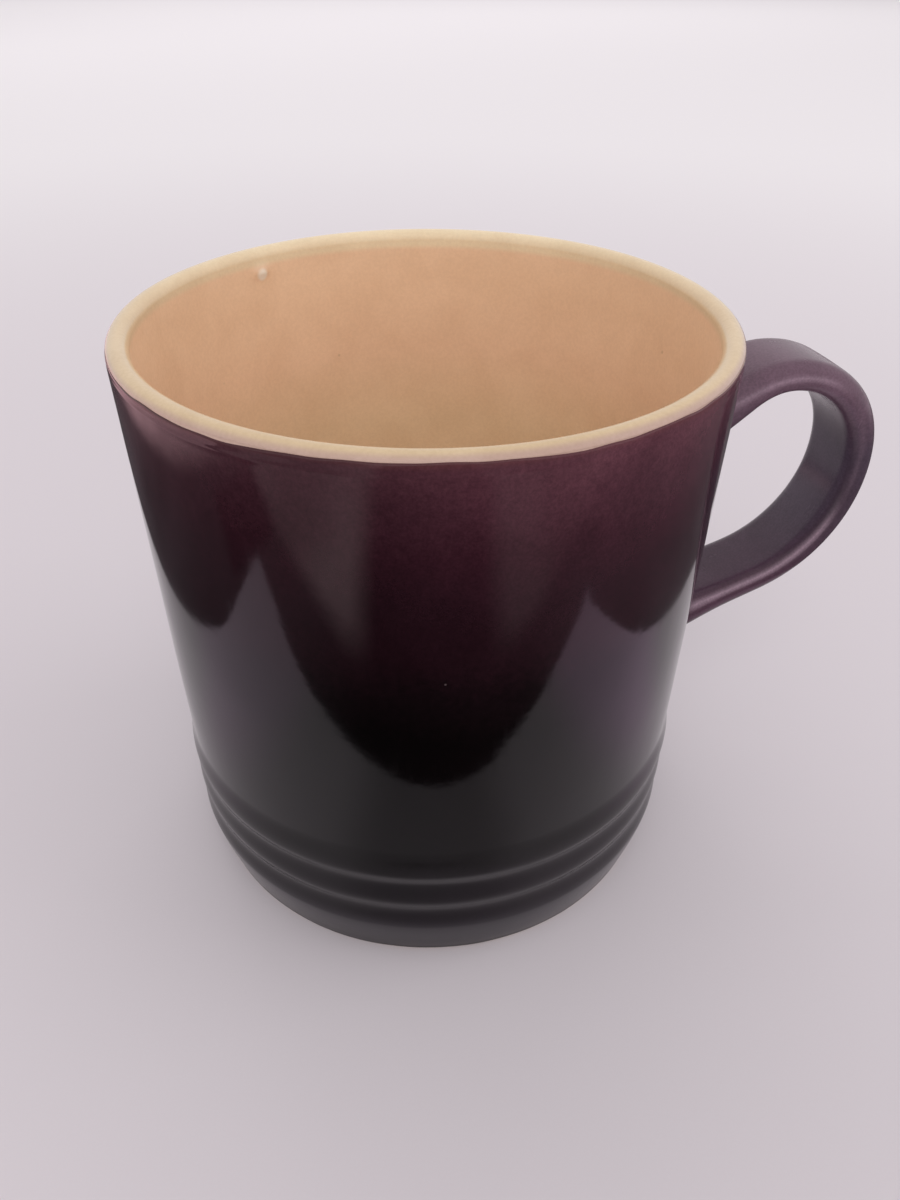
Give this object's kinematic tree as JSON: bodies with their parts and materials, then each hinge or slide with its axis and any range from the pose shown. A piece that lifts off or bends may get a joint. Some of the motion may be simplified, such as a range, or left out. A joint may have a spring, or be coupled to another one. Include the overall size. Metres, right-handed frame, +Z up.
{
  "type": "ceramic mug",
  "caption": "Straight-walled stoneware mug with a strap handle, raised rings above the foot, and a cream inside with a dark graded glaze outside.",
  "frame": {"origin": "centre of the foot ring, in the plane the mug stands on", "axes": "+Z up along the mug's axis, +X from the axis to the handle, +Y across the handle"},
  "size_m": [0.1225, 0.09, 0.0931],
  "materials": {
    "bare_stoneware": "unglazed, matt",
    "luting_slip": "unglazed, matt",
    "cream_glaze": "satin gloss cream glaze",
    "dark_glaze": "gloss glaze, aubergine at the rim to near black at the foot",
    "handle_glaze": "gloss aubergine glaze",
    "base_glaze": "gloss near-black glaze"
  },
  "bodies": {
    "root": {"stoneware_body": "bare_stoneware", "handle_strap": "bare_stoneware", "upper_luting_slip": "luting_slip", "lower_luting_slip": "luting_slip", "interior_glaze": "cream_glaze", "exterior_glaze": "dark_glaze", "handle_glaze": "handle_glaze", "base_glaze": "base_glaze"}
  },
  "joints": []
}
